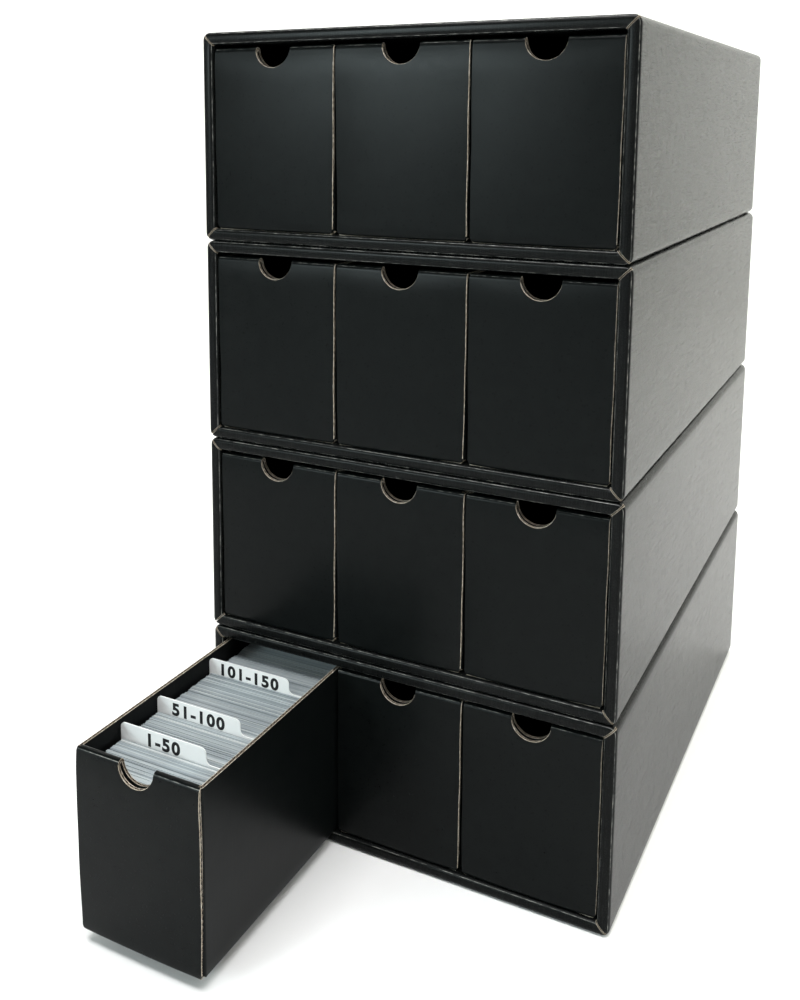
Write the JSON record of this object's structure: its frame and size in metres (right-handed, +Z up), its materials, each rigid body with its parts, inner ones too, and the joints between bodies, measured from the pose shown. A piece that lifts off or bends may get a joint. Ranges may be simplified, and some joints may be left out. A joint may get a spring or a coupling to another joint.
{
  "type": "trading card drawer box",
  "caption": "Stacked corrugated-board cases with side-by-side pull-out card drawers; one drawer stands open with cards and tabbed dividers.",
  "frame": {"origin": "centre of the bottom case's footprint, on the surface that the stack stands on", "axes": "+Z up; the drawers open towards -Y; +X is on the right, seen from the front"},
  "size_m": [0.2544, 0.5119, 0.48],
  "materials": {
    "case_board": "black printed board, satin",
    "drawer_board": "black printed board, satin, bare brown cut edges",
    "cards": "edges of sleeved cards, slightly glossy",
    "dividers": "smooth white"
  },
  "bodies": {
    "case_tier_1": {"case_tier_1": "case_board"},
    "drawer_tier_1_left": {"drawer_tier_1_left": "drawer_board", "cards_rear": "cards"},
    "drawer_tier_1_centre": {"drawer_tier_1_centre": "drawer_board"},
    "drawer_tier_1_right": {"drawer_tier_1_right": "drawer_board"},
    "case_tier_2": {"case_tier_2": "case_board"},
    "drawer_tier_2_left": {"drawer_tier_2_left": "drawer_board"},
    "drawer_tier_2_centre": {"drawer_tier_2_centre": "drawer_board"},
    "drawer_tier_2_right": {"drawer_tier_2_right": "drawer_board"},
    "case_tier_3": {"case_tier_3": "case_board"},
    "drawer_tier_3_left": {"drawer_tier_3_left": "drawer_board"},
    "drawer_tier_3_centre": {"drawer_tier_3_centre": "drawer_board"},
    "drawer_tier_3_right": {"drawer_tier_3_right": "drawer_board"},
    "case_tier_4": {"case_tier_4": "case_board"},
    "drawer_tier_4_left": {"drawer_tier_4_left": "drawer_board"},
    "drawer_tier_4_centre": {"drawer_tier_4_centre": "drawer_board"},
    "drawer_tier_4_right": {"drawer_tier_4_right": "drawer_board"},
    "cards_front": {"cards_front": "cards"},
    "cards_second": {"cards_second": "cards"},
    "cards_third": {"cards_third": "cards"},
    "divider_front": {"divider_front": "dividers"},
    "divider_middle": {"divider_middle": "dividers"},
    "divider_rear": {"divider_rear": "dividers"}
  },
  "joints": [
    {"name": "drawer_tier_1_left_slide", "type": "slide", "parent": "case_tier_1", "child": "drawer_tier_1_left", "axis": [0, -1, 0], "range_m": [-0.137, 0.183]},
    {"name": "drawer_tier_1_centre_slide", "type": "slide", "parent": "case_tier_1", "child": "drawer_tier_1_centre", "axis": [0, -1, 0], "range_m": [0, 0.32]},
    {"name": "drawer_tier_1_right_slide", "type": "slide", "parent": "case_tier_1", "child": "drawer_tier_1_right", "axis": [0, -1, 0], "range_m": [0, 0.32]},
    {"name": "case_tier_2_lift", "type": "slide", "parent": "case_tier_1", "child": "case_tier_2", "axis": [0, 0, 1], "range_m": [0, 0.12]},
    {"name": "drawer_tier_2_left_slide", "type": "slide", "parent": "case_tier_2", "child": "drawer_tier_2_left", "axis": [0, -1, 0], "range_m": [0, 0.32]},
    {"name": "drawer_tier_2_centre_slide", "type": "slide", "parent": "case_tier_2", "child": "drawer_tier_2_centre", "axis": [0, -1, 0], "range_m": [0, 0.32]},
    {"name": "drawer_tier_2_right_slide", "type": "slide", "parent": "case_tier_2", "child": "drawer_tier_2_right", "axis": [0, -1, 0], "range_m": [0, 0.32]},
    {"name": "case_tier_3_lift", "type": "slide", "parent": "case_tier_2", "child": "case_tier_3", "axis": [0, 0, 1], "range_m": [0, 0.12]},
    {"name": "drawer_tier_3_left_slide", "type": "slide", "parent": "case_tier_3", "child": "drawer_tier_3_left", "axis": [0, -1, 0], "range_m": [0, 0.32]},
    {"name": "drawer_tier_3_centre_slide", "type": "slide", "parent": "case_tier_3", "child": "drawer_tier_3_centre", "axis": [0, -1, 0], "range_m": [0, 0.32]},
    {"name": "drawer_tier_3_right_slide", "type": "slide", "parent": "case_tier_3", "child": "drawer_tier_3_right", "axis": [0, -1, 0], "range_m": [0, 0.32]},
    {"name": "case_tier_4_lift", "type": "slide", "parent": "case_tier_3", "child": "case_tier_4", "axis": [0, 0, 1], "range_m": [0, 0.12]},
    {"name": "drawer_tier_4_left_slide", "type": "slide", "parent": "case_tier_4", "child": "drawer_tier_4_left", "axis": [0, -1, 0], "range_m": [0, 0.32]},
    {"name": "drawer_tier_4_centre_slide", "type": "slide", "parent": "case_tier_4", "child": "drawer_tier_4_centre", "axis": [0, -1, 0], "range_m": [0, 0.32]},
    {"name": "drawer_tier_4_right_slide", "type": "slide", "parent": "case_tier_4", "child": "drawer_tier_4_right", "axis": [0, -1, 0], "range_m": [0, 0.32]},
    {"name": "cards_front_lift", "type": "slide", "parent": "drawer_tier_1_left", "child": "cards_front", "axis": [0, 0, 1], "range_m": [0, 0.11]},
    {"name": "cards_second_lift", "type": "slide", "parent": "drawer_tier_1_left", "child": "cards_second", "axis": [0, 0, 1], "range_m": [0, 0.11]},
    {"name": "cards_third_lift", "type": "slide", "parent": "drawer_tier_1_left", "child": "cards_third", "axis": [0, 0, 1], "range_m": [0, 0.11]},
    {"name": "divider_front_lift", "type": "slide", "parent": "drawer_tier_1_left", "child": "divider_front", "axis": [0, 0, 1], "range_m": [0, 0.11]},
    {"name": "divider_middle_lift", "type": "slide", "parent": "drawer_tier_1_left", "child": "divider_middle", "axis": [0, 0, 1], "range_m": [0, 0.11]},
    {"name": "divider_rear_lift", "type": "slide", "parent": "drawer_tier_1_left", "child": "divider_rear", "axis": [0, 0, 1], "range_m": [0, 0.11]}
  ]
}
